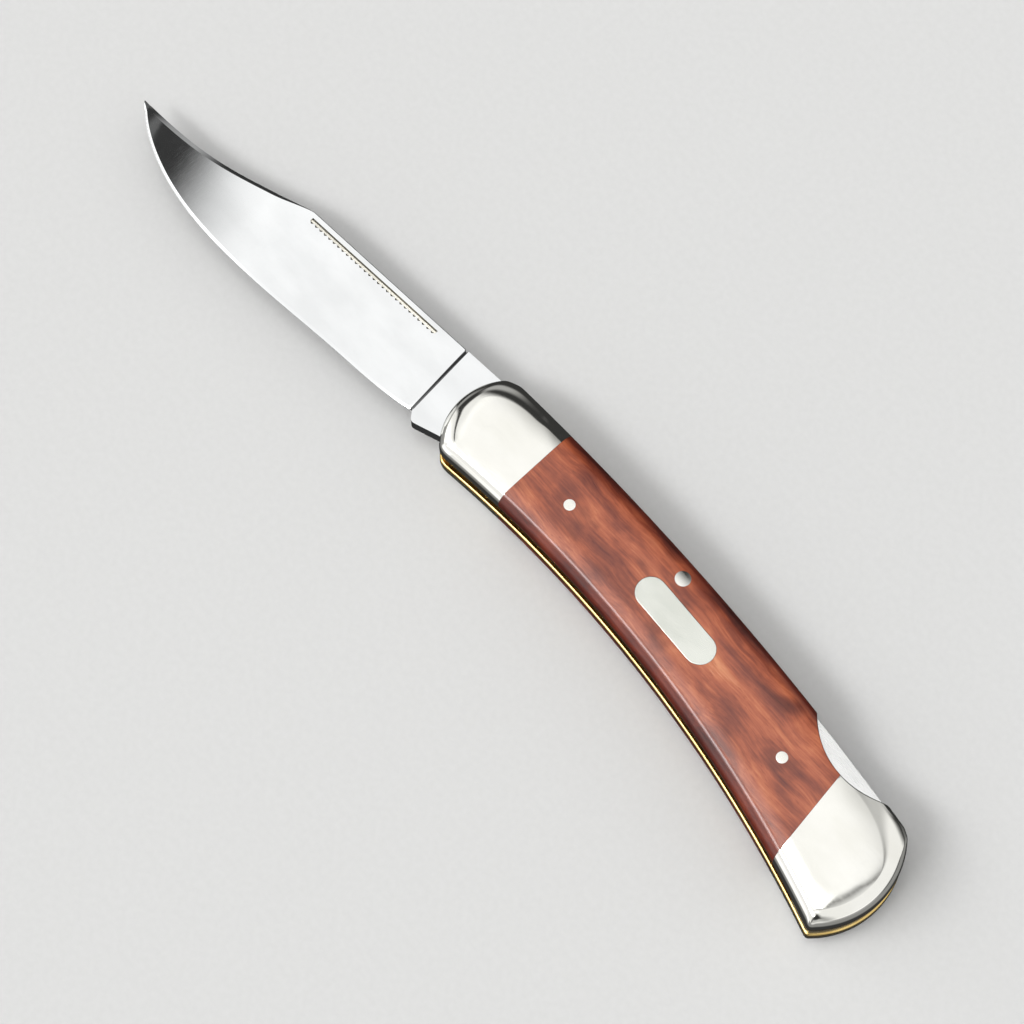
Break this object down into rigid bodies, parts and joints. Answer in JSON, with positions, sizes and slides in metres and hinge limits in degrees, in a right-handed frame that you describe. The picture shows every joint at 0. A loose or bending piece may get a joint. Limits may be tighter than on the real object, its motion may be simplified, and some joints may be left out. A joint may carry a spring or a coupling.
{
  "type": "folding pocket knife",
  "caption": "Lockback folding pocket knife with a clip-point blade, nickel-silver bolsters, wood scales and brass liners; the blade folds into the handle.",
  "frame": {"origin": "axis of the blade's pivot, on the outer face of the lower bolster, which the knife lies on", "axes": "+X from the pivot to the butt, with the open blade along -X; +Y towards the back of the knife; +Z through the thickness, towards the side that shows"},
  "size_m": [0.2064, 0.0285, 0.013],
  "materials": {
    "polished_steel": "mirror-polished blade steel",
    "satin_steel": "fine-ground spring steel",
    "nickel_silver": "polished nickel silver",
    "brass": "polished brass sheet",
    "wood": "polished figured reddish-brown hardwood"
  },
  "bodies": {
    "handle": {"lock_spring": "satin_steel", "rear_spacer": "satin_steel", "pivot_pin": "nickel_silver", "lock_bar_pin": "nickel_silver", "rear_rivets": "nickel_silver", "liner_upper": "brass", "liner_lower": "brass", "front_bolster_upper": "nickel_silver", "front_bolster_lower": "nickel_silver", "scale_upper": "wood", "scale_lower": "wood", "rear_bolster_upper": "nickel_silver", "rear_bolster_lower": "nickel_silver", "shield": "nickel_silver", "shield_pins": "nickel_silver", "scale_pin_front_upper": "nickel_silver", "scale_pin_front_lower": "nickel_silver", "scale_pin_rear_upper": "nickel_silver", "scale_pin_rear_lower": "nickel_silver", "front_bolster_rivets_upper": "nickel_silver", "front_bolster_rivets_lower": "nickel_silver"},
    "blade": {"blade": "polished_steel"},
    "lock_bar": {"lock_bar": "satin_steel"}
  },
  "joints": [
    {"name": "blade_pivot", "type": "hinge", "parent": "handle", "child": "blade", "pos_m": [0, 0, 0.0065], "axis": [0, 0, 1], "range_deg": [0, 173]},
    {"name": "lock_bar_rock", "type": "hinge", "parent": "handle", "child": "lock_bar", "pos_m": [0.0431, 0.009, 0.0065], "axis": [0, 0, -1], "range_deg": [-1, 3], "stiffness_Nm_per_rad": 2, "deforming": ["lock_spring"]}
  ]
}
